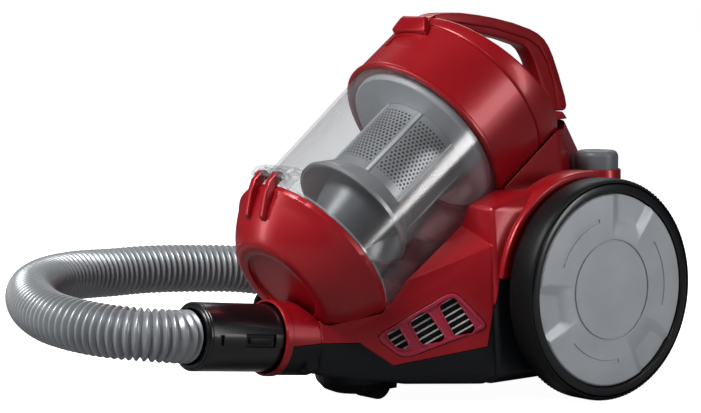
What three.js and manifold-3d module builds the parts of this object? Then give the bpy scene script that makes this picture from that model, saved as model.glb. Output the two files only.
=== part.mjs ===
// Cyclonic canister vacuum cleaner: body on two big wheels and a caster, tilted lift-off dust bin,
// and a corrugated suction hose with its hand grip.
// Millimetres, +Z up. -Y is the front, where the hose plugs in, and +X is the cleaner's left side.
import * as THREE from 'three';
import { ConvexGeometry } from 'three/addons/geometries/ConvexGeometry.js';
import { mergeVertices } from 'three/addons/utils/BufferGeometryUtils.js';
import Module from 'manifold-3d';

const wasm = await Module();
wasm.setup();

// ---- driving dimensions ----
const GAP = 0.35;                 // clearance between parts that touch

const AXLE_Y = 116;               // rear axle
const WHEEL_R = 92;
const AXLE_Z = WHEEL_R;
const WHEEL_INNER_X = 111;        // inner face of the tyre
const WHEEL_WIDTH = 25;
const AXLE_R = 6;

const BODY_HALF = 104;            // half width of the body between the wheels
const PARTING_Y = -104;           // joint between the nose and the flanks
const FLOOR_Z = 18;               // flat underside of the body

const BIN_TILT = 37.6;            // bin axis above the horizontal, rising to the rear
const BIN_ORIGIN = [0, 29, 214.8];// centre of the cup's top rim
const CUP_LENGTH = 148.5;
const CUP_TOP_R = 76.6;
const CUP_BOTTOM_R = 72.2;
const CAP_R = 80;
const CAP_PARTING = 52;           // joint between the cap's lower ring and its crown
const LID_DEPTH = 42;             // from the cup's bottom rim to the lid's face

const INLET_Y = -138.5;           // front face of the hose socket
const INLET_Z = 59.5;
const INLET_TILT = 5.7;           // the socket looks slightly upwards
const CUFF_R = 28;
const HOSE_R = 21.3;

const CASTER = [0, -46, 27.5];    // top of the caster's swivel
const BUTTON_X = 62;
const BUTTON_Y = 169;
const BUTTON_TOP_Z = 202;

// ---- materials ----
const material = (color, roughness, metalness = 0, opacity = 1) => new THREE.MeshStandardMaterial({
  color, roughness, metalness, opacity, transparent: opacity < 1,
});
const RED = () => material(0xa5191f, 0.25);
const DARK_RED = () => material(0x7c1218, 0.35);
const CRIMSON = () => material(0xb0203c, 0.4);
const BLACK = () => material(0x1c1f22, 0.45);
const GLOSS_BLACK = () => material(0x121416, 0.2);
const RUBBER = () => material(0x1a1b1c, 0.85);
const SILVER = () => material(0x9aa0a6, 0.4, 0.3);
const GREY = () => material(0x6f757a, 0.45);
const CLEAR = () => material(0xc8cdd0, 0.08, 0, 0.35);
const STEEL = () => material(0xb0b4b8, 0.3, 0.9);
const FOAM = () => material(0x55595c, 0.95);

// ---- geometry helpers ----
const rad = (degrees) => degrees * Math.PI / 180;

function solid(geometry) {
  const bare = geometry.index ? geometry.toNonIndexed() : geometry.clone();
  bare.deleteAttribute('normal');
  bare.deleteAttribute('uv');
  const merged = mergeVertices(bare, 1e-4);
  const mesh = new wasm.Mesh({
    numProp: 3,
    vertProperties: new Float32Array(merged.attributes.position.array),
    triVerts: new Uint32Array(merged.index.array),
  });
  return new wasm.Manifold(mesh);
}

function geometryOf(manifold) {
  const mesh = manifold.asOriginal().simplify(0.04).getMesh();
  const geometry = new THREE.BufferGeometry();
  geometry.setAttribute('position', new THREE.BufferAttribute(mesh.vertProperties, 3));
  geometry.setIndex(new THREE.BufferAttribute(mesh.triVerts, 1));
  return geometry;
}

const cut = (body, ...tools) => tools.reduce((left, tool) => left.subtract(solid(tool)), solid(body));
const join = (...bodies) => bodies.map(solid).reduce((sum, body) => sum.add(body));

function hull(points) {
  return new ConvexGeometry(points.map((point) => new THREE.Vector3(...point)));
}

// Convex solid of the points and of their mirror images across X = 0.
function twinHull(points) {
  return hull([...points, ...points.map(([x, y, z]) => [-x, y, z])]);
}

function box(x0, x1, y0, y1, z0, z1) {
  const geometry = new THREE.BoxGeometry(x1 - x0, y1 - y0, z1 - z0);
  return geometry.translate((x0 + x1) / 2, (y0 + y1) / 2, (z0 + z1) / 2);
}

// Solid of revolution from [radius, height] points given in either order round the outline.
function lathe(profile, segments) {
  const points = profile.map(([r, h]) => new THREE.Vector2(r, h));
  if (THREE.ShapeUtils.area(points) < 0) {
    points.reverse();
  }
  return new THREE.LatheGeometry(points, segments);
}

const latheZ = (profile, segments) => lathe(profile, segments).rotateX(Math.PI / 2);
const latheX = (profile, segments) => lathe(profile, segments).rotateZ(-Math.PI / 2);

const rodX = (r, x0, x1, segments = 24) => latheX([[0, x0], [r, x0], [r, x1], [0, x1]], segments);
const rodZ = (r, z0, z1, segments = 24) => latheZ([[0, z0], [r, z0], [r, z1], [0, z1]], segments);
const rodY = (r, y0, y1, segments = 24) => rodZ(r, y0, y1, segments).rotateX(-Math.PI / 2);
const ringZ = (inner, outer, z0, z1, segments = 32) => latheZ(
  [[inner, z0], [outer, z0], [outer, z1], [inner, z1], [inner, z0]], segments);
const ringX = (inner, outer, x0, x1, segments = 32) => latheX(
  [[inner, x0], [outer, x0], [outer, x1], [inner, x1], [inner, x0]], segments);

// Prism of a [y, z] outline between two values of x.
function prismX(outline, x0, x1) {
  const shape = new THREE.Shape(outline.map(([y, z]) => new THREE.Vector2(y, z)));
  const geometry = new THREE.ExtrudeGeometry(shape, { depth: x1 - x0, bevelEnabled: false });
  return geometry.rotateX(Math.PI / 2).rotateZ(Math.PI / 2).translate(x0, 0, 0);
}

// The same geometry on the other side of X = 0, with its faces turned outwards again.
function mirrored(geometry) {
  const copy = geometry.index ? geometry.toNonIndexed() : geometry.clone();
  const position = copy.attributes.position;
  for (let i = 0; i < position.count; i += 3) {
    const b = [position.getX(i + 1), position.getY(i + 1), position.getZ(i + 1)];
    const c = [position.getX(i + 2), position.getY(i + 2), position.getZ(i + 2)];
    position.setX(i, -position.getX(i));
    position.setXYZ(i + 1, -c[0], c[1], c[2]);
    position.setXYZ(i + 2, -b[0], b[1], b[2]);
  }
  return copy;
}

function add(parent, name, shape, paint) {
  const geometry = shape.isBufferGeometry ? shape : geometryOf(shape);
  const mesh = new THREE.Mesh(geometry, paint);
  mesh.name = name;
  parent.add(mesh);
  return mesh;
}

const SIDES = [['left', (geometry) => geometry], ['right', mirrored]];

// ---- frames that are turned ----
const vacuum = new THREE.Group();

// Bin frame: +Z up the bin's axis from the cup's top rim, +Y down towards the cradle.
const bin = new THREE.Group();
bin.position.set(...BIN_ORIGIN);
bin.rotation.x = -rad(90 - BIN_TILT);
bin.updateMatrix();
vacuum.add(bin);
const inBin = (geometry) => geometry.applyMatrix4(bin.matrix);

// Inlet frame: origin in the socket's front face, +Z out along the hose cuff.
const inlet = new THREE.Group();
inlet.position.set(0, INLET_Y, INLET_Z);
inlet.rotation.x = rad(90 - INLET_TILT);
inlet.updateMatrix();
vacuum.add(inlet);
const inInlet = (geometry) => geometry.applyMatrix4(inlet.matrix);

// ---- body ----
const CUP_BOTTOM = -CUP_LENGTH;
const LID_FACE = CUP_BOTTOM - LID_DEPTH;

// Outside of the lid, from its face to its rim.
const LID_OUTLINE = [[44, LID_FACE], [49, LID_FACE + 3], [72.5, CUP_BOTTOM - 8], [75, CUP_BOTTOM - 4],
  [74.5, CUP_BOTTOM - GAP]];

// Space that the bin fills in the body, with running clearance.
function binClearance() {
  const clearance = 1.2;
  const profile = [[0, LID_FACE - clearance], ...LID_OUTLINE.map(([r, z]) => [r + clearance, z - clearance]),
    [77.5, CUP_BOTTOM + 6], [CUP_TOP_R + 1.6, -6], [CAP_R + 2, -6], [CAP_R + 2, 150], [0, 150]];
  return inBin(latheZ(profile, 36));
}

// Closed outside of the whole body, before it is split into its mouldings.
function bodyVolume() {
  const nose = inInlet(rodZ(30, -40, -6, 28));
  const flanks = twinHull([
    [28, PARTING_Y, 29], [29, PARTING_Y, 50], [28, PARTING_Y, 78], [50, -66, 25], [51, -65, 88],
    [100, 16, 26], [100.5, 17, 132], [63, 17, 146], [90, 16, FLOOR_Z], [52, -34, FLOOR_Z],
    [60, 100, 178], [100, 60, 26], [100, 60, 132],
  ]);
  const cheeks = twinHull([
    [92, 20, FLOOR_Z], [BODY_HALF, 22, 27], [BODY_HALF, 18, 97], [100, 16, 163], [96, 53, 173], [93, 97, 178],
    [90, 150, 178], [86, 190, 166], [84, 205, 132], [83, 208.5, 92], [84, 205, 52], [84, 192, 24],
    [BODY_HALF, 190, 92], [BODY_HALF, 160, 160], [BODY_HALF, 160, 30], [BODY_HALF, 60, 160],
    [80, 180, FLOOR_Z],
  ]);
  const spine = twinHull([
    [63, 10, 140], [63, 58, 177], [63, 122, 226], [32, 150, 226], [14, 175, 226], [0, 181, 226],
    [63, 130, 170], [40, 172, 170], [36, 168, 200], [14, 192, 199], [0, 197, 198], [0, 204, 160],
    [20, 202, 160], [60, 20, 100],
  ]);
  return join(nose, flanks, cheeks, spine).subtract(solid(binClearance()));
}

// Region of the lower moulding: below the parting line, which dips under each vent and climbs
// beside the wheels.
function lowerRegion(raise) {
  return prismX([[-150, 10], [215, 10], [215, 104 + raise], [22 - raise, 104 + raise],
    [14 - raise, 49.5 + raise], [-53, 35.5 + raise], [-72 - raise, 50.5 + raise], [-150, 50.5 + raise]],
  -120, 120);
}

const VENT_ANGLE = rad(59);        // plan angle of the flank that holds the vent
const VENT_ORIGIN = [50, -66, 0];
const ventFrame = new THREE.Matrix4().makeTranslation(...VENT_ORIGIN)
  .multiply(new THREE.Matrix4().makeRotationZ(VENT_ANGLE))
  .multiply(new THREE.Matrix4().makeRotationX(Math.PI / 2));

// Prism of an outline on the flank: [along the flank, height] points; depth runs out from the flank.
function onFlank(outline, out0, out1) {
  const shape = new THREE.Shape(outline.map(([t, z]) => new THREE.Vector2(t, z)));
  const geometry = new THREE.ExtrudeGeometry(shape, { depth: out1 - out0, bevelEnabled: false });
  return geometry.translate(0, 0, out0).applyMatrix4(ventFrame);
}

const VENT_OUTLINE = [[3, 58], [5, 62], [60, 93.5], [68, 94.5], [92, 69], [91, 63], [28, 43], [20, 44]];
const VENT_HOLES = [
  [[9, 61], [17, 67], [21, 67], [30, 51], [28, 48.5], [19, 49]],
  [[28, 72], [38, 79.5], [44, 79.5], [59, 58], [57, 54], [39, 51.5]],
  [[52, 84], [63, 91], [67, 90], [84, 65], [82, 60.5], [66, 58]],
];

function buildBody() {
  const volume = bodyVolume();
  const cavity = join(
    twinHull([
      [24, PARTING_Y + 3, 33], [24, PARTING_Y + 3, 74], [46, -62, 29], [46, -62, 84], [94, 20, 30],
      [95, 21, 127], [58, 21, 141], [84, 20, 21], [50, -30, 21], [56, 100, 173], [94, 60, 30], [94, 60, 127],
    ]),
    twinHull([
      [88, 26, 22], [99, 27, 31], [99, 23, 97], [95, 21, 158], [91, 57, 168], [88, 97, 173],
      [85, 147, 173], [81, 186, 162], [79, 200, 130], [78, 203, 92], [79, 200, 54], [79, 188, 28],
      [99, 186, 92], [99, 157, 156], [99, 157, 34], [99, 63, 156],
    ]),
    twinHull([
      [58, 15, 138], [58, 60, 172], [58, 122, 221], [29, 147, 221], [12, 172, 221], [0, 176, 221],
      [58, 128, 170], [36, 168, 168], [32, 164, 198], [12, 187, 197], [0, 192, 196], [0, 198, 162],
      [18, 196, 162], [56, 24, 104],
    ]),
  );
  const trough = join(
    inBin(latheZ([[0, LID_FACE - 4.2], [48, LID_FACE - 4.2], [53, LID_FACE], [77, CUP_BOTTOM - 11],
      [80, CUP_BOTTOM + 2], [CUP_TOP_R + 4.6, -9.2], [CAP_R + 5, -9.2], [CAP_R + 5, 150], [0, 150]], 40)));
  const inside = cavity.subtract(trough);
  const socket = solid(inInlet(rodZ(CUFF_R + 0.6, -45, 5, 28)));
  const shell = volume.subtract(inside).subtract(socket);

  const noseRegion = solid(box(-60, 60, -150, PARTING_Y, 10, 120));
  const noseGap = solid(box(-60, 60, -150, PARTING_Y + GAP, 10, 120));
  const lower = shell.intersect(solid(lowerRegion(0)));
  const upper = shell.subtract(solid(lowerRegion(GAP)));

  const vents = SIDES.map(([, side]) => solid(side(onFlank(VENT_OUTLINE, -14, 9))));
  const pivot = solid(rodZ(STEM_R + GAP, 10, 45, 24).translate(CASTER[0], CASTER[1], 0));
  const casterRoom = solid(rodZ(40, 10, 28, 28).translate(CASTER[0], CASTER[1], 0));
  const casterRoof = solid(rodZ(43, 28, 31.5, 28).translate(CASTER[0], CASTER[1], 0))
    .add(solid(box(-23, 23, -96, -46, 28, 31.5)));
  const outlet = solid(rodY(9, 195, 215).translate(-34, 0, 70));
  const duct = ductPrism(GAP, DUCT_HALF + GAP);
  const collarRoom = solid(inInlet(rodZ(40, -6.5 - GAP, 10)));
  const axleHoles = solid(rodX(AXLE_R + GAP, -130, 130).translate(0, AXLE_Y, AXLE_Z));

  const openings = [...vents, pivot, outlet, duct, axleHoles];
  let pan = lower.subtract(casterRoom).add(casterRoof).subtract(collarRoom);
  let top = upper.subtract(noseGap);
  for (const opening of openings) {
    pan = pan.subtract(opening);
    top = top.subtract(opening);
  }
  for (const side of [-1, 1]) {
    top = top.subtract(solid(rodZ(21, 150, 205, 32).translate(side * BUTTON_X, BUTTON_Y, 0)));
  }
  add(vacuum, 'base_pan', pan, BLACK());
  add(vacuum, 'upper_body', top, RED());

  const ring = inInlet(ringZ(CUFF_R + 0.6, 31, -6.5, 0, 40));
  add(vacuum, 'inlet_housing', upper.intersect(noseRegion).subtract(duct).add(solid(ring)), RED());
}

// ---- air duct from the socket to the bin's inlet port ----
const DUCT_HALF = 24;

function ductPrism(grow, half) {
  return solid(prismX([[-113, 35 - grow], [-14 + grow, 35 - grow], [36 + grow, 92 - grow],
    [44 + grow, 135], [4, 135], [-2 - grow, 86 + grow], [-30, 56 + grow], [-113, 56 + grow]], -half, half));
}

function buildDuct() {
  const bore = solid(prismX([[-114, 37.2], [-15, 37.2], [34, 93.4], [42, 136], [6, 136], [0, 85],
    [-31, 53.8], [-114, 53.8]], -DUCT_HALF + 2.2, DUCT_HALF - 2.2));
  const around = solid(binClearance());
  add(vacuum, 'inlet_duct', ductPrism(0, DUCT_HALF).subtract(bore).subtract(around), BLACK());
}

// ---- side vents ----

// Outline of a convex polygon moved inwards.
function inset(outline, distance) {
  const turn = Math.sign(THREE.ShapeUtils.area(outline.map(([x, y]) => new THREE.Vector2(x, y))));
  const lines = outline.map(([x0, y0], i) => {
    const [x1, y1] = outline[(i + 1) % outline.length];
    const length = Math.hypot(x1 - x0, y1 - y0);
    const normal = [-(y1 - y0) / length * turn, (x1 - x0) / length * turn];
    return { normal, offset: normal[0] * x0 + normal[1] * y0 + distance };
  });
  return lines.map((line, i) => {
    const before = lines[(i + lines.length - 1) % lines.length];
    const det = before.normal[0] * line.normal[1] - before.normal[1] * line.normal[0];
    return [
      (before.offset * line.normal[1] - line.offset * before.normal[1]) / det,
      (before.normal[0] * line.offset - line.normal[0] * before.offset) / det,
    ];
  });
}

const SLAT_ANGLE = rad(29);
const SLAT_PITCH = 6.4;

function buildVents() {
  const plate = onFlank(inset(VENT_OUTLINE, GAP + 0.1), -3.5, 0.6);
  const holes = VENT_HOLES.map((hole) => onFlank(inset(hole, 1.4), -5, 5));
  const frame = geometryOf(cut(plate, ...holes));
  const backing = onFlank(inset(VENT_OUTLINE, 1), -8, -6);
  const clip = solid(onFlank(inset(VENT_OUTLINE, 1.2), -7, -4));
  let grille = solid(backing);
  for (let row = 0; row < 9; row += 1) {
    const slat = new THREE.BoxGeometry(130, 1.2, 4).rotateZ(SLAT_ANGLE)
      .translate(47, 42 + row * SLAT_PITCH, -6).applyMatrix4(ventFrame);
    grille = grille.add(solid(slat).intersect(clip));
  }
  const grilleGeometry = geometryOf(grille);
  for (const [name, side] of SIDES) {
    add(vacuum, `vent_frame_${name}`, side(frame), CRIMSON());
    add(vacuum, `vent_grille_${name}`, side(grilleGeometry), BLACK());
    const filter = side(box(34, 58, -12, 26, 38, 74));
    add(vacuum, `exhaust_filter_${name}`, filter, FOAM());
  }
}

// ---- foot buttons ----
function buildButtons() {
  for (const [name, x] of [['power', BUTTON_X], ['rewind', -BUTTON_X]]) {
    const collar = latheZ([[9.5, 165], [20.6, 165], [20.6, 186], [18.9, 186], [18.9, 168], [9.5, 168],
      [9.5, 165]], 28);
    const cap = latheZ([[0, 158], [8.5, 158], [8.5, 182], [18.4, 182], [18.4, 197.5], [16.8, 201],
      [13, BUTTON_TOP_Z], [0, BUTTON_TOP_Z]], 28);
    add(vacuum, `${name}_button_collar`, collar.translate(x, BUTTON_Y, 0), RED());
    add(vacuum, `${name}_button`, cap.translate(x, BUTTON_Y, 0), GREY());
  }
  add(vacuum, 'power_switch', box(52, 72, 159, 179, 136, 152), BLACK());
  add(vacuum, 'reel_brake_lever', box(-67, -57, 116, 179, 147, 152), BLACK());
}

// ---- main wheels ----
const HUBCAP_R = 79.6;
const RIM_FACE = WHEEL_INNER_X + WHEEL_WIDTH;

function buildWheels() {
  const tyre = latheX([[88.4, 112], [90.5, 111.3], [WHEEL_R, 113], [WHEEL_R, 134], [91, 135.6],
    [88.4, RIM_FACE], [88.4, 112]], 40);
  const rim = latheX([[6.4, 113], [14, 113], [14, 122], [79, 126], [79, 113], [88, 113], [88, 134.6],
    [86.5, 136.6], [80.2, 136.6], [80.2, 131.5], [13, 131.5], [13, 124], [6.4, 124], [6.4, 113]], 36);
  const hubcap = latheX([[0, 131.9], [HUBCAP_R, 131.9], [HUBCAP_R, 135.2], [77.5, RIM_FACE],
    [42.6, RIM_FACE + 0.8], [42.2, RIM_FACE], [41.4, RIM_FACE], [41, RIM_FACE + 0.8],
    [0, RIM_FACE + 0.9]], 36);
  const axle = latheX([[0, 91.5], [10, 91.5], [10, 95], [AXLE_R, 95], [AXLE_R, 129], [0, 129]], 24);
  const clip = ringX(AXLE_R + GAP, 11, 124.5, 126.5, 24);
  const pieces = [['wheel_tyre', tyre, RUBBER()], ['wheel_rim', rim, GLOSS_BLACK()],
    ['wheel_hubcap', hubcap, SILVER()], ['axle', axle, STEEL()], ['axle_clip', clip, STEEL()]];
  for (const [name, side] of SIDES) {
    for (const [piece, geometry, paint] of pieces) {
      const placed = geometry.clone().translate(0, AXLE_Y, AXLE_Z);
      add(vacuum, `${piece}_${name}`, side(placed), paint.clone());
    }
  }
}

// ---- front caster ----
const STEM_R = 6;
const CASTER_WHEEL_R = 12.5;
const CASTER_TRAIL = 17;

function buildCaster() {
  const [x, y, top] = CASTER;
  const wheelY = y + CASTER_TRAIL;
  const bowl = latheZ([[0, top - 0.4], [33, top - 0.4], [34, top - 3.5], [32, 17], [26, 10.5], [18, 7.5],
    [0, 7]], 28).translate(x, y, 0);
  const cheeks = hull([[-17, y, 8], [17, y, 8], [-17, wheelY + 14, 9], [17, wheelY + 14, 9],
    [-17, wheelY + 15, 20], [17, wheelY + 15, 20], [-17, y, 27], [17, y, 27], [-17, wheelY + 9, 27],
    [17, wheelY + 9, 27]]);
  const wheelRoom = box(-12, 12, wheelY - CASTER_WHEEL_R - 2.5, wheelY + 30, -5, CASTER_WHEEL_R * 2 + 0.8);
  const pinHole = rodX(2.5 + GAP, -40, 40, 16).translate(0, wheelY, CASTER_WHEEL_R);
  const stemHole = rodZ(STEM_R + GAP, 20, 40, 24).translate(x, y, 0);
  const fork = join(bowl, cheeks).subtract(solid(wheelRoom)).subtract(solid(pinHole))
    .subtract(solid(stemHole));
  add(vacuum, 'caster_fork', fork, BLACK());
  const stem = latheZ([[0, 21], [STEM_R, 21], [STEM_R, 32], [8.5, 32], [8.5, 34.4], [0, 34.4]], 24);
  add(vacuum, 'caster_stem', stem.translate(x, y, 0), STEEL());
  const wheel = ringX(2.9, CASTER_WHEEL_R, -11, 11, 28);
  add(vacuum, 'caster_wheel', wheel.translate(0, wheelY, CASTER_WHEEL_R), RUBBER());
  add(vacuum, 'caster_pin', rodX(2.5, -16.5, 16.5, 16).translate(0, wheelY, CASTER_WHEEL_R), STEEL());
}

// ---- motor, fan and cord reel ----
function buildDrive() {
  const at = (geometry) => geometry.translate(0, 105, 75);
  add(vacuum, 'motor_housing', at(latheX([[46, -28], [50, -28], [50, 58], [14, 58], [14, 55], [46, 55],
    [46, -28]], 32)), GREY());
  add(vacuum, 'motor', at(latheX([[3.4, -20], [38, -20], [38, 30], [12, 30], [12, 36], [3.4, 36],
    [3.4, -20]], 28)), STEEL());
  add(vacuum, 'motor_shaft', at(rodX(3, -18, 52, 16)), STEEL());
  add(vacuum, 'fan_impeller', at(latheX([[3.4, 40], [12, 40], [36, 41], [36, 47], [12, 49], [3.4, 49],
    [3.4, 40]], 28)), SILVER());
  const reel = latheX([[8.5, -88], [56, -88], [56, -85], [20, -85], [20, -45], [56, -45], [56, -42],
    [8.5, -42], [8.5, -88]], 32);
  add(vacuum, 'cord_reel', reel.translate(0, 112, 88), BLACK());
  add(vacuum, 'cord_reel_pin', rodX(8, -89.5, -37).translate(0, 112, 88), STEEL());
  const gland = latheZ([[4, -9], [8.6, -9], [8.6, 0], [12, 0], [12, 5.5], [4, 5.5], [4, -9]], 24);
  add(vacuum, 'cord_outlet', gland.rotateX(-Math.PI / 2).translate(-34, 208.4, 70), BLACK());
}

// ---- dust bin ----
const HINGE_Y = -79;
const HINGE_Z = CUP_BOTTOM + 5;
const HOOKS = [[-13, -7], [7, 13]];

function buildCup() {
  const tube = latheZ([[CUP_TOP_R - 2.5, 0], [CUP_TOP_R, 0], [CUP_BOTTOM_R, CUP_BOTTOM],
    [CUP_BOTTOM_R - 2.5, CUP_BOTTOM], [CUP_TOP_R - 2.5, 0]], 40);
  const bracket = solid(box(-19, 19, -83.5, -66, CUP_BOTTOM + 0.4, CUP_BOTTOM + 15))
    .subtract(solid(rodZ(CUP_BOTTOM_R - 1.5, CUP_BOTTOM - 5, CUP_BOTTOM + 30, 40)));
  let cup = solid(tube).add(bracket);
  for (const [x0, x1] of HOOKS) {
    cup = cup.subtract(solid(box(x0 - 0.5, x1 + 0.5, -90, -73.3, CUP_BOTTOM - 5, CUP_BOTTOM + 20)));
  }
  const pinHole = solid(rodX(2.4, -30, 30, 16).translate(0, HINGE_Y, HINGE_Z));
  const port = solid(box(-21, 21, 50, 90, -76, -48));
  add(bin, 'bin_cup', cup.subtract(pinHole).subtract(port), CLEAR());
  add(bin, 'lid_hinge_pin', rodX(2, -18.6, 18.6, 16).translate(0, HINGE_Y, HINGE_Z), STEEL());
  add(bin, 'lid_catch', box(-8, 8, 72.9, 75.5, CUP_BOTTOM + 1, CUP_BOTTOM + 16), DARK_RED());
}

function buildLid() {
  const shell = latheZ([[0, LID_FACE + 3], [34, LID_FACE + 3], [35, LID_FACE], ...LID_OUTLINE,
    [72, CUP_BOTTOM - GAP], [72.3, CUP_BOTTOM - 4.5], [69.6, CUP_BOTTOM - 9], [47, LID_FACE + 5.8],
    [0, LID_FACE + 5.8]], 36);
  let lid = solid(shell);
  for (const [x0, x1] of HOOKS) {
    const rib = prismX([[-83, HINGE_Z + 1], [-82, CUP_BOTTOM - 4], [-76, CUP_BOTTOM - 12],
      [-62, CUP_BOTTOM - 27], [-57.5, CUP_BOTTOM - 27], [-68.5, CUP_BOTTOM - 11],
      [-73.8, CUP_BOTTOM - 4], [-75, HINGE_Z]], x0, x1);
    const eye = rodX(4.2, x0, x1, 20).translate(0, HINGE_Y, HINGE_Z);
    lid = lid.add(solid(rib)).add(solid(eye));
  }
  lid = lid.subtract(solid(rodX(2.4, -30, 30, 16).translate(0, HINGE_Y, HINGE_Z)));
  add(bin, 'bin_lid', lid, RED());
  add(bin, 'lid_seal', ringZ(69, 71.6, CUP_BOTTOM - 3.9, CUP_BOTTOM - 0.4, 40), RUBBER());
}

function buildCyclone() {
  add(bin, 'cyclone_shroud', latheZ([[39.5, -0.5], [42, -0.5], [42, -80], [54, -97], [54, -99.5],
    [51.5, -99.5], [39.5, -82], [39.5, -0.5]], 28), SILVER());
  add(bin, 'cyclone_cone', latheZ([[34, -1], [36, -1], [36, -84], [21, -138], [19, -138], [34, -83.5],
    [34, -1]], 24), GREY());
  add(bin, 'vortex_tube', ringZ(14, 16, -60, 5, 24), BLACK());
  add(bin, 'fine_filter', rodZ(60, 8, 34, 24), FOAM());
}

// ---- cap, handle and release clip ----
const CROWN_Z = 74.5;             // crown's sloping top face, on the bin's axis
const CROWN_SLOPE = 0.14;
const TAIL_Z = 226.6;             // underside of the tail that rests on the body's spine
const TAIL_TOP = 233;
const FOOT_Z = TAIL_TOP + GAP;

function crownVolume(grow) {
  const drum = solid(inBin(rodZ(CAP_R - 0.4 + grow, CAP_PARTING + GAP - grow, 120, 40)));
  const edge = CROWN_Z + grow;
  const below = prismX([[-120, 20], [120, 20], [120, edge + CROWN_SLOPE * 120],
    [-120, edge - CROWN_SLOPE * 120]], -120, 120);
  return drum.intersect(solid(inBin(below)));
}

function buildCap() {
  add(bin, 'cap_ring', latheZ([[77.2, -3.5], [80.2, -3.5], [81.2, -0.5], [CAP_R, 5],
    [CAP_R, CAP_PARTING], [77, CAP_PARTING], [77, 3.6], [30, 3.6], [30, 0.4], [77.2, 0.4],
    [77.2, -3.5]], 40), RED());
  const tail = twinHull([[44, 116, TAIL_Z], [31, 150, TAIL_Z], [16, 178, TAIL_Z], [0, 182, TAIL_Z],
    [34, 100, TAIL_TOP], [26, 142, TAIL_TOP], [14, 174, TAIL_TOP], [0, 178, TAIL_TOP]]);
  const cavity = solid(inBin(rodZ(76.5, 40, 57, 40)));
  const crown = crownVolume(0).subtract(cavity).add(solid(tail).subtract(cavity));
  add(vacuum, 'cap_crown', crown, RED());

  const top = [[24, 312], [32, 317.6], [40, 319], [60, 319.3], [99, 314.5], [139.4, 304.8], [156, 296],
    [166.5, 281], [181, 246], [183, 238], [179, FOOT_Z]];
  const under = [[161, FOOT_Z], [147, 269.7], [141, 281.8], [131, 291], [91.3, 300.2],
    [66.5, 304.6], [50, 303], [40, 296], [24, 296]];
  const rail = [[171.5, FOOT_Z], [158.5, 277], [149, 289.2], [136, 296.2], [97.5, 305.6], [59, 310.3],
    [24, 309]];
  const grip = join(prismX([...top, ...under], -6.5, 6.5), prismX([...top, ...rail], -13, 13));
  const bandRoom = solid(inBin(rodZ(CAP_R + GAP, -10, CAP_PARTING + GAP, 40)));
  add(vacuum, 'carry_handle', grip.subtract(crownVolume(GAP)).subtract(bandRoom), DARK_RED());

  const clip = prismX([[-77, 40], [-84, 40], [-84.5, 46], [-88, 47], [-88, 53], [-77, 53]], -21, 21);
  const clipRoom = rodZ(CAP_R + 0.5, -10, 60, 40);
  add(bin, 'bin_release_clip', cut(clip, clipRoom), DARK_RED());
}

// ---- hose and its fittings ----
const CUFF_END = 73;
const HOSE_ROUTE = [
  [0, -211.6, 66.8], [0, -230, 68.6], [-10, -252, 71], [-33, -270, 73], [-64, -281, 76],
  [-99, -281, 79], [-139, -270, 84], [-176, -248, 89], [-205, -216, 92], [-222, -178, 93],
  [-229, -138, 92], [-229, -97, 92], [-225, -50, 90], [-216, 0, 86], [-204, 50, 75], [-196, 100, 58],
  [-191, 150, 39], [-189, 200, 26], [-188, 250, 21.9], [-188, 300, 21.9], [-190, 345, 21.9],
  [-203, 390, 21.9], [-235, 438, 21.9], [-285, 468, 21.9], [-340, 476, 21.9], [-395, 460, 21.9],
  [-440, 423, 21.9], [-464, 370, 21.9], [-466, 325, 21.9],
];
const GRIP_ROUTE = [
  [-466, 287, 21.9], [-465, 262, 21.9], [-455, 232, 22], [-436, 204, 23], [-412, 178, 24],
  [-386, 152, 25],
];

function tube(route, outer, inner, steps, sides) {
  const path = new THREE.CatmullRomCurve3(route.map((point) => new THREE.Vector3(...point)));
  const circle = (r) => Array.from({ length: sides }, (_, i) => {
    const turn = 2 * Math.PI * i / sides;
    return new THREE.Vector2(r * Math.cos(turn), r * Math.sin(turn));
  });
  const shape = new THREE.Shape(circle(outer));
  if (inner > 0) {
    shape.holes = [new THREE.Path(circle(inner))];
  }
  return new THREE.ExtrudeGeometry(shape, { steps, extrudePath: path, bevelEnabled: false });
}

function buildHose() {
  let cuff = solid(ringZ(22.5, CUFF_R, -20, CUFF_END, 40));
  const spring = box(21, 30, -5.2, 5.2, 8.4, 37.7);
  cuff = cuff.subtract(solid(spring)).subtract(solid(mirrored(spring)));
  add(inlet, 'hose_cuff', cuff, GLOSS_BLACK());
  for (const [name, side] of SIDES) {
    add(inlet, `cuff_button_${name}`, side(box(24.2, 27.6, -4.6, 4.6, 9.2, 36.9)), GLOSS_BLACK());
  }
  add(vacuum, 'hose', tube(HOSE_ROUTE, HOSE_R, HOSE_R - 2.4, 44, 8), SILVER());
  const collar = ringZ(16, HOSE_R + 0.3, 0, 34, 28).rotateX(-Math.PI / 2);
  add(vacuum, 'hose_end_collar', collar.translate(-466, 289.4, 21.9), GLOSS_BLACK());
  add(vacuum, 'hose_grip', tube(GRIP_ROUTE, 17.5, 15, 10, 14), BLACK());
  const slider = box(-7, 7, -10, 10, 0, 3).rotateZ(rad(-42)).translate(-430, 198, 41.2);
  add(vacuum, 'suction_slider', slider, SILVER());
}

buildBody();
buildDuct();
buildVents();
buildButtons();
buildWheels();
buildCaster();
buildDrive();
buildCup();
buildLid();
buildCyclone();
buildCap();
buildHose();

export default vacuum;
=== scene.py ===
"""Canister vacuum cleaner: its visible pieces and the studio. Millimetres until a piece is placed."""

import math

import bmesh
import bpy
from mathutils import Matrix, Vector


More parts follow.
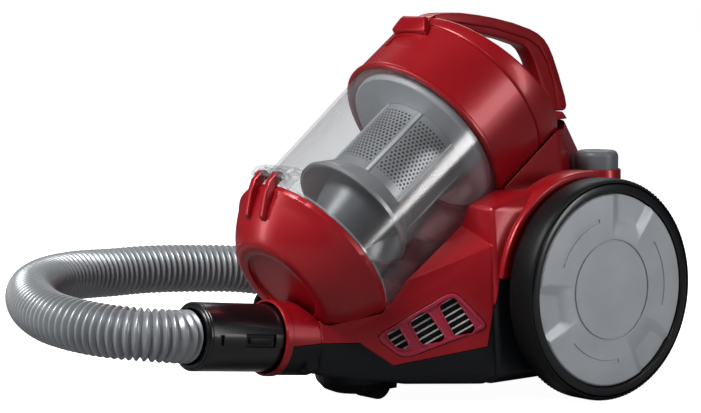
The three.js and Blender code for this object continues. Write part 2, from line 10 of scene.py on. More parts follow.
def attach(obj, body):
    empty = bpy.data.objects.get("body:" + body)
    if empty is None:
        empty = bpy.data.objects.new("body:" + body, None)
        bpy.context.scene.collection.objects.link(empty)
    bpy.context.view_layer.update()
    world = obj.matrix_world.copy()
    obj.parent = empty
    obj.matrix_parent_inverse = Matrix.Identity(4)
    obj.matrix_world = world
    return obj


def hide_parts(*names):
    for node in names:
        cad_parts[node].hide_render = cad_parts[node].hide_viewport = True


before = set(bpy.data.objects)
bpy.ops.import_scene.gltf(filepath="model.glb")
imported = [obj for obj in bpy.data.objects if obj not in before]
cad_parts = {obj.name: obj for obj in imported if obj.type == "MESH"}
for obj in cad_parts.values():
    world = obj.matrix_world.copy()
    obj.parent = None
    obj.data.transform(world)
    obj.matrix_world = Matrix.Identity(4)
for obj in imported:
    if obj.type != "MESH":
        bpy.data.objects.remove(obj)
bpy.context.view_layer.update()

# ---- main sizes, in millimetres ----
GAP = 0.35
AXLE_Y, AXLE_Z, WHEEL_R = 116, 92, 92
BIN_TILT = 37.6
BIN_ORIGIN = (0, 29, 214.8)
CUP_TOP_R, CUP_BOTTOM_R, CUP_BOTTOM = 76.6, 72.2, -148.5
LID_FACE = CUP_BOTTOM - 42
CAP_R, CAP_PARTING = 80, 52
INLET_Y, INLET_Z, INLET_TILT = -138.5, 59.5, 5.7
CUFF_R, HOSE_R = 28, 21.3
SOCKET_R = CUFF_R + 0.6           # bore that the hose cuff turns in
BUTTON_X, BUTTON_Y, BUTTON_TOP = 62, 169, 202
PARTING_Y = -104                  # joint between the nose and the flanks
FLOOR_Z = 18                      # flat underside of the body
AXLE_HOLE_R = 6.35
CASTER_Y, CASTER_ROOM_R = -46, 40
ARCH_R, WHEEL_ROOM_R = 96.5, 91.5

# Frames: the bin's +Z runs up its axis from the cup's top rim, its +Y down towards the cradle;
# the inlet's +Z runs out of the hose socket along the cuff.
BIN = Matrix.Translation(BIN_ORIGIN) @ Matrix.Rotation(-math.radians(90 - BIN_TILT), 4, "X")
INLET = Matrix.Translation((0, INLET_Y, INLET_Z)) @ Matrix.Rotation(math.radians(90 - INLET_TILT), 4, "X")
MIRROR = Matrix.Scale(-1, 4, (1, 0, 0))

# ---- camera ----
CAMERA_AT = Vector((1.59237, -1.30510, 0.33437))
LOOK_AT = Vector((0, -0.0505, 0.16076))
FOCAL_LENGTH, SENSOR_WIDTH = 127.1, 36


def make_camera():
    data = bpy.data.cameras.new("camera")
    data.lens = FOCAL_LENGTH
    data.sensor_width = SENSOR_WIDTH
    data.clip_start = 0.05
    data.clip_end = 50
    camera = bpy.data.objects.new("camera", data)
    camera.location = CAMERA_AT
    camera.rotation_euler = (LOOK_AT - CAMERA_AT).to_track_quat("-Z", "Y").to_euler()
    bpy.context.scene.collection.objects.link(camera)
    bpy.context.scene.camera = camera


# ---- materials ----
def link(tree, a, b):
    tree.links.new(a, b)


def math_node(tree, operation, a, b=None):
    node = tree.nodes.new("ShaderNodeMath")
    node.operation = operation
    for i, value in enumerate([a] if b is None else [a, b]):
        if isinstance(value, (int, float)):
            node.inputs[i].default_value = value
        else:
            link(tree, value, node.inputs[i])
    return node.outputs[0]


def surface(name, color, rough, metallic=0.0, coat=0.0, grain=0.0, grain_scale=900, mottle=0.06, edge=0.0,
            gleam=0.5):
    """A moulded or metal surface with slight colour and gloss variation, fine grain and softened edges."""
    material = bpy.data.materials.new(name)
    material.use_nodes = True
    tree = material.node_tree
    shader = tree.nodes["Principled BSDF"]
    shader.inputs["Metallic"].default_value = metallic
    shader.inputs["Specular IOR Level"].default_value = gleam
    shader.inputs["Coat Weight"].default_value = coat
    shader.inputs["Coat Roughness"].default_value = 0.1
    coords = tree.nodes.new("ShaderNodeTexCoord").outputs["Object"]
    noise = tree.nodes.new("ShaderNodeTexNoise")
    noise.inputs["Scale"].default_value = 35
    noise.inputs["Detail"].default_value = 4
    link(tree, coords, noise.inputs["Vector"])
    ramp = tree.nodes.new("ShaderNodeValToRGB")
    ramp.color_ramp.elements[0].position = 0.3
    ramp.color_ramp.elements[1].position = 0.7
    ramp.color_ramp.elements[0].color = [c * (1 - mottle) for c in color] + [1]
    ramp.color_ramp.elements[1].color = [min(1, c * (1 + mottle)) for c in color] + [1]
    link(tree, noise.outputs["Fac"], ramp.inputs["Fac"])
    link(tree, ramp.outputs["Color"], shader.inputs["Base Color"])
    gloss = tree.nodes.new("ShaderNodeMapRange")
    gloss.inputs["To Min"].default_value = max(0.02, rough * 0.88)
    gloss.inputs["To Max"].default_value = min(1, rough * 1.12)
    link(tree, noise.outputs["Fac"], gloss.inputs["Value"])
    link(tree, gloss.outputs["Result"], shader.inputs["Roughness"])
    normal = None
    if edge > 0:
        rounding = tree.nodes.new("ShaderNodeBevel")
        rounding.samples = 4
        rounding.inputs["Radius"].default_value = edge / 1000
        normal = rounding.outputs["Normal"]
        link(tree, normal, shader.inputs["Normal"])
    if grain > 0:
        fine = tree.nodes.new("ShaderNodeTexNoise")
        fine.inputs["Scale"].default_value = grain_scale
        fine.inputs["Detail"].default_value = 3
        link(tree, coords, fine.inputs["Vector"])
        bump = tree.nodes.new("ShaderNodeBump")
        bump.inputs["Strength"].default_value = grain
        bump.inputs["Distance"].default_value = 0.0003
        link(tree, fine.outputs["Fac"], bump.inputs["Height"])
        if normal is not None:
            link(tree, normal, bump.inputs["Normal"])
        link(tree, bump.outputs["Normal"], shader.inputs["Normal"])
    return material


RIM_HAZE = 0.14                   # extra haze where the wall is seen edge on
HAZE_LIMIT, SHEEN_LIMIT = 0.92, 0.13


def clear_plastic(name, haze, tint):
    """Thin clear moulding: mostly see-through, with gloss and a faint haze that grows at grazing angles."""
    material = bpy.data.materials.new(name)
    material.use_nodes = True
    tree = material.node_tree
    shader = tree.nodes["Principled BSDF"]
    shader.inputs["Base Color"].default_value = (*tint, 1)
    shader.inputs["Roughness"].default_value = 0.3
    see_through = tree.nodes.new("ShaderNodeBsdfTransparent")
    see_through.inputs["Color"].default_value = (0.975, 0.977, 0.98, 1)
    sheen = tree.nodes.new("ShaderNodeBsdfGlossy")
    sheen.inputs["Roughness"].default_value = 0.13
    fresnel = tree.nodes.new("ShaderNodeFresnel")
    fresnel.inputs["IOR"].default_value = 1.52
    facing = tree.nodes.new("ShaderNodeLayerWeight")
    facing.inputs["Blend"].default_value = 0.35
    coords = tree.nodes.new("ShaderNodeTexCoord").outputs["Object"]
    noise = tree.nodes.new("ShaderNodeTexNoise")
    noise.inputs["Scale"].default_value = 22
    noise.inputs["Detail"].default_value = 5
    link(tree, coords, noise.inputs["Vector"])
    cloud = math_node(tree, "MULTIPLY", noise.outputs["Fac"], haze)
    rim = math_node(tree, "MULTIPLY", math_node(tree, "POWER", facing.outputs["Facing"], 2.0), RIM_HAZE)
    amount = math_node(tree, "MINIMUM", math_node(tree, "ADD", cloud, rim), HAZE_LIMIT)
    shine = tree.nodes.new("ShaderNodeMixShader")
    mix = tree.nodes.new("ShaderNodeMixShader")
    link(tree, amount, mix.inputs["Fac"])
    link(tree, see_through.outputs[0], mix.inputs[1])
    link(tree, shader.outputs[0], mix.inputs[2])
    gloss = math_node(tree, "MULTIPLY", fresnel.outputs[0], 1.1)
    link(tree, math_node(tree, "MINIMUM", gloss, SHEEN_LIMIT), shine.inputs["Fac"])
    link(tree, mix.outputs[0], shine.inputs[1])
    link(tree, sheen.outputs[0], shine.inputs[2])
    link(tree, shine.outputs[0], tree.nodes["Material Output"].inputs["Surface"])
    return material


# Near-black painted shade that stands in for the dark interior seen through each hole of the shroud.
HOLE_SHADE_COLOR = (0.012, 0.012, 0.013, 1)
PANEL_SHARE = 0.4                 # holes reach this far to each side of a panel's middle, in panels


def perforated(name, color, pitch, hole, rows, panel):
    """Sheet whose panels carry staggered round holes, drawn as near-black spots: painted shade for the dark
    inside seen through them, not real openings. UVs are in metres, round the piece and along it.
    """
    material = surface(name, color, 0.32, metallic=0.55, grain=0.15)
    tree = material.node_tree
    shader = tree.nodes["Principled BSDF"]
    uv = tree.nodes.new("ShaderNodeSeparateXYZ")
    link(tree, tree.nodes.new("ShaderNodeTexCoord").outputs["UV"], uv.inputs[0])
    u, v = uv.outputs[0], uv.outputs[1]
    row_ratio = 0.866                 # rows of a staggered pattern lie this many pitches apart
    row_height = pitch * row_ratio
    row = math_node(tree, "FLOOR", math_node(tree, "DIVIDE", v, row_height))
    stagger = math_node(tree, "MULTIPLY", row, 0.5)
    shifted = math_node(tree, "ADD", math_node(tree, "DIVIDE", u, pitch), stagger)
    du = math_node(tree, "SUBTRACT", math_node(tree, "FRACT", shifted), 0.5)
    fraction = math_node(tree, "FRACT", math_node(tree, "DIVIDE", v, row_height))
    dv = math_node(tree, "MULTIPLY", math_node(tree, "SUBTRACT", fraction, 0.5), row_ratio)
    squared = math_node(tree, "ADD", math_node(tree, "MULTIPLY", du, du), math_node(tree, "MULTIPLY", dv, dv))
    inside = math_node(tree, "LESS_THAN", squared, (hole / pitch / 2) ** 2)
    above = math_node(tree, "GREATER_THAN", v, rows[0])
    below = math_node(tree, "LESS_THAN", v, rows[1])
    across = math_node(tree, "FRACT", math_node(tree, "DIVIDE", u, panel))
    off_centre = math_node(tree, "ABSOLUTE", math_node(tree, "SUBTRACT", across, 0.5))
    wide = math_node(tree, "LESS_THAN", off_centre, PANEL_SHARE)
    # The holes are painted near black here: painted shade, with no opening cut in the sheet.
    hole_shade_mask = inside
    for limit in (above, below, wide):
        hole_shade_mask = math_node(tree, "MULTIPLY", hole_shade_mask, limit)
    mix = tree.nodes.new("ShaderNodeMixRGB")
    link(tree, hole_shade_mask, mix.inputs["Fac"])
    link(tree, shader.inputs["Base Color"].links[0].from_socket, mix.inputs["Color1"])
    mix.inputs["Color2"].default_value = HOLE_SHADE_COLOR
    link(tree, mix.outputs[0], shader.inputs["Base Color"])
    return material


RED = surface("glossy_red", (0.38, 0.006, 0.012), 0.32, metallic=0.25, coat=0.15, edge=0.9)
DARK_RED = surface("dark_red", (0.34, 0.006, 0.011), 0.3, metallic=0.3, edge=0.8, gleam=0.35)
CRIMSON = surface("crimson", (0.42, 0.022, 0.055), 0.34, edge=0.5)
BLACK = surface("satin_black", (0.006, 0.007, 0.009), 0.42, grain=0.2, edge=0.7, gleam=0.28)
GLOSS_BLACK = surface("gloss_black", (0.004, 0.0045, 0.0055), 0.26, coat=0.15, edge=0.7)
RUBBER = surface("tyre_rubber", (0.004, 0.0045, 0.005), 0.46, grain=0.3, gleam=0.2)
SILVER = surface("silver_plastic", (0.56, 0.59, 0.62), 0.45, metallic=0.4, grain=0.12, edge=0.5)
PALE = surface("pale_slats", (0.55, 0.55, 0.54), 0.45, grain=0.2)
GREY = surface("button_grey", (0.16, 0.17, 0.185), 0.4, grain=0.2, edge=1.2)
CONE_GREY = surface("cone_grey", (0.13, 0.137, 0.147), 0.4, metallic=0.2, grain=0.1, edge=0.4)
STEEL = surface("steel", (0.55, 0.56, 0.58), 0.28, metallic=1.0, grain=0.1)
FOAM = surface("filter_foam", (0.16, 0.165, 0.17), 0.95, grain=1.0, grain_scale=450, mottle=0.25)
HOSE_GREY = surface("hose_grey", (0.30, 0.315, 0.33), 0.34, metallic=0.35, grain=0.1)
CLEAR = clear_plastic("clear_cup", 0.07, (0.6, 0.62, 0.64))
CLEAR_RIB = clear_plastic("clear_rib", 0.3, (0.72, 0.74, 0.76))
SHROUD = perforated("perforated_shroud", (0.42, 0.43, 0.44), pitch=0.0037, hole=0.0021,
                    rows=(-0.072, -0.013), panel=0.0377)


# ---- solids ----
def from_bmesh(bm, name="solid"):
    bmesh.ops.recalc_face_normals(bm, faces=bm.faces)
    mesh = bpy.data.meshes.new(name)
    bm.to_mesh(mesh)
    bm.free()
    obj = bpy.data.objects.new(name, mesh)
    bpy.context.scene.collection.objects.link(obj)
    return obj


def applied(obj, kind, **settings):
    modifier = obj.modifiers.new(kind, kind)
    for key, value in settings.items():
        setattr(modifier, key, value)
    evaluated = obj.evaluated_get(bpy.context.evaluated_depsgraph_get())
    mesh = bpy.data.meshes.new_from_object(evaluated)
    obj.modifiers.clear()
    old = obj.data
    obj.data = mesh
    bpy.data.meshes.remove(old)
    return obj


def bevel(obj, width, segments=3, angle=25):
    return applied(obj, "BEVEL", width=width, segments=segments, limit_method="ANGLE",
                   angle_limit=math.radians(angle), use_clamp_overlap=True)


def boolean(obj, tool, operation):
    applied(obj, "BOOLEAN", object=tool, operation=operation, solver="MANIFOLD")
    bpy.data.objects.remove(tool)
    return obj


def minus(obj, *tools):
    for tool in tools:
        boolean(obj, tool, "DIFFERENCE")
    return obj


def plus(obj, *others):
    for other in others:
        boolean(obj, other, "UNION")
    return obj


def both(obj, other):
    return boolean(obj, other, "INTERSECT")


def moved(obj, matrix):
    """Moves a solid's own points; a mirrored solid keeps its faces pointing outwards."""
    obj.data.transform(matrix)
    if matrix.determinant() < 0:
        obj.data.flip_normals()
    return obj


def twin(obj):
    copy = obj.copy()
    copy.data = obj.data.copy()
    bpy.context.scene.collection.objects.link(copy)
    return copy


def hull(points, rounding=0.0, mirror=False):
    """Convex solid round the points, with rounded edges; mirror adds their images across x = 0."""
    bm = bmesh.new()
    everything = list(points) + ([(-x, y, z) for x, y, z in points] if mirror else [])
    for point in everything:
        bm.verts.new(point)
    result = bmesh.ops.convex_hull(bm, input=bm.verts)
    unused = set(result["geom_interior"] + result["geom_unused"])
    loose = [v for v in unused if isinstance(v, bmesh.types.BMVert)]
    bmesh.ops.delete(bm, geom=loose, context="VERTS")
    bmesh.ops.remove_doubles(bm, verts=bm.verts, dist=0.01)
    bmesh.ops.dissolve_limit(bm, angle_limit=math.radians(1.5), verts=bm.verts, edges=bm.edges)
    obj = from_bmesh(bm)
    return bevel(obj, rounding, 4, 12) if rounding else obj


def block(x0, x1, y0, y1, z0, z1, rounding=0.0):
    return hull([(x, y, z) for x in (x0, x1) for y in (y0, y1) for z in (z0, z1)], rounding)


def lathe(profile, segments=96, wobble=None):
    """Solid of revolution about Z from (radius, z) points; wobble(radius, z, index) may vary the radius."""
    area = sum(a[0] * b[1] - b[0] * a[1] for a, b in zip(profile, profile[1:] + profile[:1]))
    points = profile if area > 0 else profile[::-1]
    closed = all(r > 0 for r, _ in points)
    if closed and points[0] == points[-1]:
        points = points[:-1]
    bm = bmesh.new()
    rings = []
    for r, z in points:
        if r == 0:
            rings.append([bm.verts.new((0, 0, z))] * segments)
            continue
        ring = []
        for i in range(segments):
            turn = 2 * math.pi * i / segments
            radius = wobble(r, z, i) if wobble else r
            ring.append(bm.verts.new((radius * math.cos(turn), radius * math.sin(turn), z)))
        rings.append(ring)
    pairs = list(zip(rings, rings[1:])) + ([(rings[-1], rings[0])] if closed else [])
    for low, high in pairs:
        for i in range(segments):
            j = (i + 1) % segments
            corners = []
            for vert in (low[i], low[j], high[j], high[i]):
                if vert not in corners:
                    corners.append(vert)
            if len(corners) > 2:
                bm.faces.new(corners)
    return from_bmesh(bm)


AROUND_X = Matrix.Rotation(math.radians(90), 4, "Y")
AROUND_Y = Matrix.Rotation(math.radians(-90), 4, "X")


def rod(r, z0, z1, segments=64):
    return lathe([(0, z0), (r, z0), (r, z1), (0, z1)], segments)


def ring(inner, outer, z0, z1, segments=96):
    return lathe([(inner, z0), (outer, z0), (outer, z1), (inner, z1)], segments)


def rod_x(r, x0, x1, y, z, segments=64):
    return moved(rod(r, x0, x1, segments), Matrix.Translation((0, y, z)) @ AROUND_X)


def prism(outline, x0, x1, rounding=0.0, segments=3):
    """Prism of a (y, z) outline between two values of x."""
    bm = bmesh.new()
    near = [bm.verts.new((x0, y, z)) for y, z in outline]
    far = [bm.verts.new((x1, y, z)) for y, z in outline]
    bm.faces.new(near)
    bm.faces.new(far[::-1])
    for i in range(len(outline)):
        j = (i + 1) % len(outline)
        bm.faces.new((near[i], far[i], far[j], near[j]))
    obj = from_bmesh(bm)
    return bevel(obj, rounding, segments, 30) if rounding else obj


def rounded(outline, radius, steps=5):
    """Outline with its corners drawn as short curves, starting up to radius before each corner."""
    result = []
    for i, corner in enumerate(outline):
        b = Vector(corner)
        before, after = Vector(outline[i - 1]) - b, Vector(outline[(i + 1) % len(outline)]) - b
        a = b + before * min(0.45, radius / before.length)
        c = b + after * min(0.45, radius / after.length)
        for k in range(steps + 1):
            t = k / steps
            result.append(tuple(a * (1 - t) ** 2 + b * 2 * t * (1 - t) + c * t ** 2))
    return result


def place(obj, name, material, body, replaces=(), angle=32):
    """Names the piece, brings it to metres, shades it and ties it to its CAD body."""
    obj.name = name
    obj.data.name = name
    obj.data.transform(Matrix.Scale(0.001, 4))
    obj.data.materials.clear()
    obj.data.materials.append(material)
    for polygon in obj.data.polygons:
        polygon.use_smooth = True
    obj.data.set_sharp_from_angle(angle=math.radians(angle))
    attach(obj, body)
    if replaces:
        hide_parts(*replaces)
    return obj


# ---- body ----
LID_OUTLINE = [(44, LID_FACE), (49, LID_FACE + 3), (72.5, CUP_BOTTOM - 8), (75, CUP_BOTTOM - 4),
               (74.5, CUP_BOTTOM - GAP)]


def bin_clearance():
    """Space that the bin fills in the body, with running clearance."""
    profile = [(0, LID_FACE - 1.2)] + [(r + 1.2, z - 1.2) for r, z in LID_OUTLINE]
    profile += [(77.5, CUP_BOTTOM + 6), (CUP_TOP_R + 1.6, -6), (CAP_R + 1.8, -6), (CAP_R + 1.8, 150),
                (0, 150)]
    return moved(lathe(profile, 144), BIN)


def body_volume():
    """Closed outside of the whole body, before it is split into its mouldings."""
    nose = plus(moved(rod(30, -40, -6.2, 72), INLET), block(-26.8, 26.8, -116, -100, 32, 57, 2.5))
    flanks = hull([
        (28, PARTING_Y, 29), (29, PARTING_Y, 50), (28, PARTING_Y, 78), (50, -66, 25), (51, -65, 88),
        (100, 16, 26), (100.5, 17, 132), (63, 17, 146), (90, 16, FLOOR_Z), (52, -34, FLOOR_Z),
        (60, 100, 178), (100, 60, 26), (100, 60, 132)], 2.2, True)
    cheeks = hull([
        (92, 20, FLOOR_Z), (104, 22, 27), (104, 18, 97), (100, 16, 163), (96, 53, 173), (93, 97, 178),
        (90, 150, 178), (86, 190, 166), (84, 205, 132), (83, 208.5, 92), (84, 205, 52), (84, 192, 24),
        (104, 190, 92), (104, 160, 160), (104, 160, 30), (104, 60, 160), (80, 180, FLOOR_Z)], 3.0, True)
    spine = hull([
        (63, 10, 140), (63, 58, 177), (63, 122, 226), (32, 150, 226), (14, 175, 226), (0, 181, 226),
        (63, 130, 170), (40, 172, 170), (36, 168, 200), (14, 192, 199), (0, 197, 198), (0, 204, 160),
        (20, 202, 160), (60, 20, 100)], 2.5, True)
    fenders = []
    for side in (1, -1):
        arch = rod_x(ARCH_R, 85, 108, AXLE_Y, AXLE_Z, 144)
        arch = minus(bevel(arch, 1.6, 3, 40), rod_x(WHEEL_ROOM_R, 105.5, 110, AXLE_Y, AXLE_Z, 144))
        arch = both(arch, block(80, 112, 0, 128, 106, 200))
        fenders.append(arch if side > 0 else moved(arch, MIRROR))
    return minus(plus(nose, flanks, cheeks, spine, *fenders), bin_clearance())


def lower_region(raised):
    """Region of the black lower moulding; its parting line dips under each vent and climbs at the wheels."""
    return prism([(-150, 10), (215, 10), (215, 104 + raised), (22 - raised, 104 + raised),
                  (14 - raised, 49.5 + raised), (-53, 35.5 + raised), (-76 - raised, 54.5 + raised),
                  (-150, 54.5 + raised)], -120, 120)


# The flank that holds the vent, seen from outside: outlines are (along the flank, height) points.
VENT_FRAME = (Matrix.Translation((50, -66, 0)) @ Matrix.Rotation(math.radians(59), 4, "Z")
              @ Matrix.Rotation(math.radians(90), 4, "X"))
VENT_OUTLINE = rounded([(-0.5, 59.5), (65, 97), (95.5, 66), (24, 40.5)], 9)
VENT_HOLES = [
    [(9, 61), (17, 67), (21, 67), (30, 51), (28, 48.5), (19, 49)],
    [(28, 72), (38, 79.5), (44, 79.5), (59, 58), (57, 54), (39, 51.5)],
    [(52, 84), (63, 91), (67, 90), (84, 65), (82, 60.5), (66, 58)],
]


def on_flank(outline, out0, out1, rounding=0.0):
    """Prism of an outline on the flank: (along the flank, height) points, between two depths."""
    obj = prism(outline, out0, out1, rounding)
    turn = Matrix(((0, 1, 0, 0), (0, 0, 1, 0), (1, 0, 0, 0), (0, 0, 0, 1)))
    return moved(obj, VENT_FRAME @ turn)


def inset(outline, distance):
    """Convex outline with its sides moved inwards, or outwards where the distance is negative."""
    count = len(outline)
    area = sum(a[0] * b[1] - b[0] * a[1] for a, b in zip(outline, outline[1:] + outline[:1]))
    sign = 1 if area > 0 else -1
    lines = []
    for i, (x0, y0) in enumerate(outline):
        x1, y1 = outline[(i + 1) % count]
        length = math.hypot(x1 - x0, y1 - y0)
        nx, ny = -(y1 - y0) / length * sign, (x1 - x0) / length * sign
        lines.append((nx, ny, nx * x0 + ny * y0 + distance))
    result = []
    for i in range(count):
        ax, ay, ao = lines[i - 1]
        bx, by, bo = lines[i]
        det = ax * by - ay * bx
        result.append(((ao * by - bo * ay) / det, (ax * bo - bx * ao) / det))
    return result


def mirrored_pair(make):
    """The left piece that make returns, and its mirror image for the right."""
    left = make()
    right = moved(twin(left), MIRROR)
    return left, right


def duct_prism(grow, half):
    """Room of the flat air duct that runs from the hose socket up to the bin's port."""
    return prism([(-113, 35 - grow), (-14 + grow, 35 - grow), (36 + grow, 92 - grow), (44 + grow, 135),
                  (4, 135), (-2 - grow, 86 + grow), (-30, 56 + grow), (-113, 56 + grow)], -half, half)


def make_body():
    at_caster = Matrix.Translation((0, CASTER_Y, 0))
    cavity = plus(
        hull([(24, PARTING_Y + 3, 33), (24, PARTING_Y + 3, 74), (46, -62, 29), (46, -62, 84), (94, 20, 30),
              (95, 21, 127), (58, 21, 141), (84, 20, 21), (50, -30, 21), (56, 100, 173), (94, 60, 30),
              (94, 60, 127)], 0, True),
        hull([(88, 26, 22), (99, 27, 31), (99, 23, 97), (95, 21, 158), (91, 57, 168), (88, 97, 173),
              (85, 147, 173), (81, 186, 162), (79, 200, 130), (78, 203, 92), (79, 200, 54), (79, 188, 28),
              (99, 186, 92), (99, 157, 156), (99, 157, 34), (99, 63, 156)], 0, True),
        hull([(58, 15, 138), (58, 60, 172), (58, 122, 221), (29, 147, 221), (12, 172, 221), (0, 176, 221),
              (58, 128, 170), (36, 168, 168), (32, 164, 198), (12, 187, 197), (0, 192, 196), (0, 198, 162),
              (18, 196, 162), (56, 24, 104)], 0, True))
    trough = moved(lathe([(0, LID_FACE - 4.2), (48, LID_FACE - 4.2), (53, LID_FACE), (77, CUP_BOTTOM - 11),
                          (80, CUP_BOTTOM + 2), (CUP_TOP_R + 4.6, -9.2), (CAP_R + 5, -9.2),
                          (CAP_R + 5, 150), (0, 150)], 96), BIN)
    shell = minus(body_volume(), minus(cavity, trough), moved(rod(SOCKET_R, -45, 5), INLET))
    cord_hole = moved(rod(9, 195, 215), Matrix.Translation((-34, 0, 70)) @ AROUND_Y)
    tools = [duct_prism(GAP, 24 + GAP), rod_x(AXLE_HOLE_R, -130, 130, AXLE_Y, AXLE_Z), cord_hole,
             moved(rod(AXLE_HOLE_R, 10, 45), at_caster)]
    vents = mirrored_pair(lambda: on_flank(VENT_OUTLINE, -14, 9))
    shell = minus(shell, *tools, *vents)

    lower = both(twin(shell), lower_region(0))
    upper = minus(shell, lower_region(GAP + 0.25))
    room = moved(rod(CASTER_ROOM_R, 10, 28, 96), at_caster)
    roof = moved(rod(CASTER_ROOM_R + 3, 28, 31.5, 96), at_caster)
    roof = plus(roof, block(-23, 23, -96, CASTER_Y, 28, 31.5))
    roof = minus(roof, moved(rod(AXLE_HOLE_R, 10, 45), at_caster))
    lower = minus(plus(minus(lower, room), roof), moved(rod(40, -6.85, 10), INLET))
    place(lower, "base_moulding", BLACK, "chassis", ["base_pan"])

    for side in (-1, 1):
        upper = minus(upper, moved(rod(21, 150, 205), Matrix.Translation((side * BUTTON_X, BUTTON_Y, 0))))
    nose = both(twin(upper), block(-60, 60, -150, PARTING_Y, 10, 120))
    collar = lathe([(SOCKET_R, -6.5), (31, -6.5), (31, -1.2), (30.2, 0), (CUFF_R + 1.2, 0),
                    (SOCKET_R, -0.8)], 96)
    nose = plus(nose, moved(collar, INLET))
    upper = minus(upper, block(-60, 60, -150, PARTING_Y + GAP, 10, 120))
    place(upper, "upper_moulding", RED, "chassis", ["upper_body"])
    place(nose, "hose_socket_moulding", RED, "chassis", ["inlet_housing"])


SLAT_ANGLE, SLAT_PITCH = math.radians(29), 6.4


def make_vents():
    def frame_piece():
        piece = on_flank(inset(VENT_OUTLINE, 0.45), -3.5, 1.6, 0.7)
        piece = minus(piece, on_flank(inset(VENT_OUTLINE, 3.4), 0.2, 4, 1.0))
        for hole in VENT_HOLES:
            opening = rounded(inset(hole, 0.6), 3.5)
            rim = minus(on_flank(inset(opening, -1.5), -0.4, 1.1, 0.7), on_flank(opening, -5, 5))
            piece = plus(minus(piece, on_flank(opening, -5, 5)), rim)
        return piece

    def backing():
        return on_flank(inset(VENT_OUTLINE, 1), -8, -6)

    def slats():
        rows = []
        for row in range(9):
            slat = moved(block(-65, 65, -0.5, 0.5, -2, 2, 0.2), Matrix.Rotation(SLAT_ANGLE, 4, "Z"))
            rows.append(moved(slat, VENT_FRAME @ Matrix.Translation((47, 42 + row * SLAT_PITCH, -3.9))))
        return both(plus(*rows), on_flank(inset(VENT_OUTLINE, 1.2), -7, -1.5))

    for make, title, material, slot, node in (
            (frame_piece, "vent_bezel", CRIMSON, "crimson", "vent_frame"),
            (backing, "vent_backing", BLACK, "black", "vent_grille"),
            (slats, "vent_slats", PALE, "silver", None)):
        for piece, side in zip(mirrored_pair(make), ("left", "right")):
            nodes = [f"{node}_{side}"] if node else []
            place(piece, f"{title}_{side}", material, "chassis", nodes)


# ---- wheels ----
SCOOPS = (71, 191, 311)           # centres of the hub cap's scooped pads, in degrees
SHOULDERS = (112.8, 134.6)        # x of the tyre's two shoulders
TOOTH_DEPTH = 0.9


def polar(r, degrees, x):
    """Point on a wheel before it is stood on its axle: the angle runs from the rear up over the top."""
    turn = math.radians(degrees)
    return (-r * math.sin(turn), r * math.cos(turn), x)


def make_wheels():
    at_axle = Matrix.Translation((0, AXLE_Y, AXLE_Z)) @ AROUND_X

    def tread(r, z, i):
        """Fine teeth along both shoulders of the tyre."""
        edge = min(abs(z - shoulder) for shoulder in SHOULDERS) < 3
        return r - (TOOTH_DEPTH if r > 91 and edge and i % 2 else 0)

    def tyre():
        profile = [(88.4, 112), (90.4, 111.3), (91.6, 112.2), (91.9, 114.6), (WHEEL_R, 117), (WHEEL_R, 130.4),
                   (91.9, 132.6), (91.4, 134.6), (90.2, 135.7), (88.6, 136), (88.4, 135)]
        return moved(lathe(profile, 288, tread), at_axle)

    def rim():
        profile = [(6.4, 113), (14, 113), (14, 122), (79, 126), (79, 113), (88, 113), (88, 135.2),
                   (87.2, 136.4), (86, 136.9), (81.4, 136.9), (80.4, 136.2), (80.2, 131.5), (13, 131.5),
                   (13, 124), (6.4, 124)]
        return moved(lathe(profile, 160), at_axle)

    def hubcap():
        disc = lathe([(0, 131.9), (79.4, 131.9), (79.4, 135.0), (78.2, 136.0), (70, 136.3), (0, 136.5)], 160)
        disc = minus(disc, ring(40.4, 42.0, 135.2, 138, 128))
        for turn in SCOOPS:
            scoop = hull([polar(r, turn + a, z) for r, a, z in (
                (50, -21, 137.2), (50, 21, 137.2), (86, -19, 137.2), (86, 19, 137.2), (51, 0, 137.2),
                (60, -11, 133.5), (60, 11, 133.5), (86, -13, 133.5), (86, 13, 133.5), (61.5, 0, 133.5))], 2.4)
            sector = hull([polar(r, turn + 60 + a, z)
                           for r in (0.1, 90) for a in (-27, 0, 27) for z in (130, 140)])
            disc = minus(disc, scoop, both(ring(58.2, 61.2, 135.5, 138, 160), sector))
        return moved(disc, at_axle)

    for make, title, material, slot, node in (
            (tyre, "tyre", RUBBER, "rubber", "wheel_tyre"),
            (rim, "rim", GLOSS_BLACK, "gloss_black", "wheel_rim"),
            (hubcap, "hub_cap", SILVER, "silver", "wheel_hubcap")):
        left, right = mirrored_pair(make)
        place(left, f"{title}_left", material, "wheel_l", [f"{node}_left"])
        place(right, f"{title}_right", material, "wheel_r", [f"{node}_right"])


# ---- buttons ----
def make_buttons():
    for title, x, body in (("power", BUTTON_X, "power"), ("rewind", -BUTTON_X, "rewind")):
        spot = Matrix.Translation((x, BUTTON_Y, 0))
        collar = lathe([(9.5, 165), (20.6, 165), (20.6, 184.8), (20, 186), (19.4, 186), (18.9, 185.2),
                        (18.9, 168), (9.5, 168)], 96)
        cap = lathe([(0, 158), (8.5, 158), (8.5, 182), (18.4, 182), (18.4, 196.5), (18, 198.6), (16.8, 200.6),
                     (14.6, 201.8), (12, BUTTON_TOP), (11, 201.2), (0, 200.9)], 96)
        place(moved(collar, spot), f"{title}_collar", RED, "chassis", [f"{title}_button_collar"])
        place(moved(cap, spot), f"{title}_cap", GREY, body, [f"{title}_button"])


# ---- dust bin ----
HINGE_Y, HINGE_Z = -79, CUP_BOTTOM + 5
PIN_HOLE_R = 2.4
HOOKS = ((-13, -7), (7, 13))      # x ranges of the lid's two hinge hooks
SHROUD_R = 42
RIBS = 7


